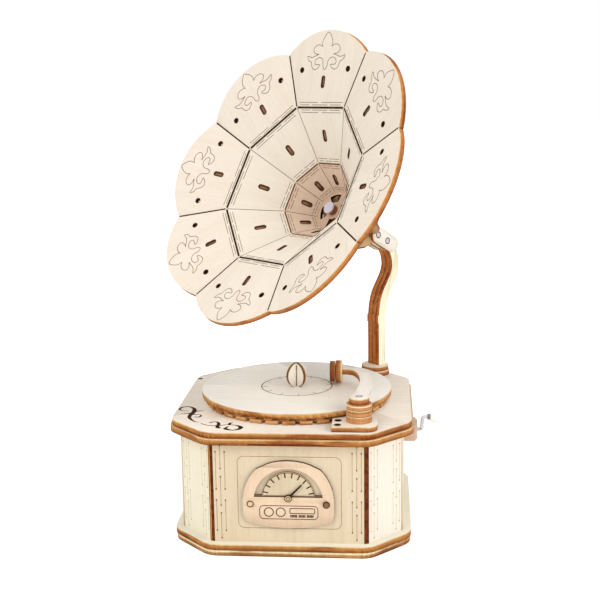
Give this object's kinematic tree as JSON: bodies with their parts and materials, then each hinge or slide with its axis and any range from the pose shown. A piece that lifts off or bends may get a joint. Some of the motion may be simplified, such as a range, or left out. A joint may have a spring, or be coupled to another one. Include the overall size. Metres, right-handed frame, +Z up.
{
  "type": "disc music box",
  "caption": "Laser-cut plywood music box in the form of a horn gramophone, with an octagonal case, a toothed turntable with a disc, a tone arm and a hand crank",
  "frame": {"origin": "centre of the underside of the octagonal foot plate", "axes": "+X towards the crank side, -Y towards the dial, +Z up"},
  "size_m": [0.1593, 0.1388, 0.2753],
  "materials": {
    "cream_ply": "laser-cut birch plywood, matte, with burnt edges",
    "tan_ply": "warmer basswood plywood, matte",
    "pale_wood": "pale wood, fine grain, matte",
    "dark_wood": "plywood darkened brown",
    "dowel": "round dowel, end grain",
    "brass": "plain machined brass",
    "steel": "drawn steel wire and rod"
  },
  "bodies": {
    "base": {"foot_plate": "tan_ply", "floor_plate": "pale_wood", "under_deck_plate": "tan_ply", "deck_plate": "cream_ply", "wall_right": "cream_ply", "wall_back_right": "cream_ply", "wall_back": "cream_ply", "wall_back_left": "cream_ply", "wall_left": "cream_ply", "wall_front_left": "tan_ply", "wall_front": "tan_ply", "wall_front_right": "tan_ply", "corner_frame": "tan_ply", "dial_escutcheon": "tan_ply", "dial_scale": "pale_wood", "dial_peg_left": "dowel", "dial_peg_right": "dowel", "arm_plate": "cream_ply", "arm_post": "cream_ply", "crank_boss": "tan_ply", "movement_bed": "brass", "comb": "steel", "horn_stave_1": "cream_ply", "horn_stave_2": "cream_ply", "horn_stave_3": "cream_ply", "horn_stave_4": "cream_ply", "horn_stave_5": "cream_ply", "horn_stave_6": "cream_ply", "horn_stave_7": "cream_ply", "horn_stave_8": "cream_ply", "horn_ribs": "tan_ply", "throat_plate": "pale_wood", "stand_left": "tan_ply", "stand_core": "tan_ply", "stand_right": "tan_ply", "cheek_left": "cream_ply", "cheek_right": "cream_ply", "cheek_pin_front": "dowel", "cheek_pin_rear": "dowel", "stand_foot_low": "tan_ply", "stand_foot_high": "tan_ply"},
    "turntable": {"ring_low": "dark_wood", "ring_high": "cream_ply", "record": "cream_ply", "spindle": "steel", "knob_leaf_a": "pale_wood", "knob_leaf_b": "pale_wood", "crown_wheel": "brass"},
    "tone_arm": {"arm_swivel": "dark_wood", "arm_pin": "steel", "tone_arm": "cream_ply", "soundbox_back": "cream_ply", "soundbox_front": "cream_ply"},
    "crank": {"crank_wire": "steel", "crank_collar": "dark_wood", "crank_pinion": "brass"},
    "handle": {"crank_handle": "pale_wood"},
    "drum": {"drum": "brass", "drum_wheel": "brass"},
    "pointer": {"dial_pointer": "dark_wood"}
  },
  "joints": [
    {"name": "turntable_spin", "type": "hinge", "parent": "base", "child": "turntable", "pos_m": [0, 0, 0.0743], "axis": [0, 0, 1], "continuous": true},
    {"name": "crank_spin", "type": "hinge", "parent": "base", "child": "crank", "pos_m": [0.064, 0, 0.0505], "axis": [1, 0, 0], "continuous": true},
    {"name": "drum_spin", "type": "hinge", "parent": "base", "child": "drum", "pos_m": [0, 0, 0.0295], "axis": [1, 0, 0], "continuous": true},
    {"name": "handle_spin", "type": "hinge", "parent": "crank", "child": "handle", "pos_m": [0.0785, -0.00996, 0.06118], "axis": [1, 0, 0], "continuous": true},
    {"name": "tone_arm_swing", "type": "hinge", "parent": "base", "child": "tone_arm", "pos_m": [0.0371, -0.05141, 0.083], "axis": [0, 0, 1], "range_deg": [-35, 8]},
    {"name": "pointer_turn", "type": "hinge", "parent": "base", "child": "pointer", "pos_m": [0, -0.061, 0.0325], "axis": [0, 1, 0], "range_deg": [-100, 10]}
  ],
  "couplings": [
    {"joint": "crank_spin", "follows": "turntable_spin", "ratio": -3},
    {"joint": "drum_spin", "follows": "turntable_spin", "ratio": 1.2}
  ]
}
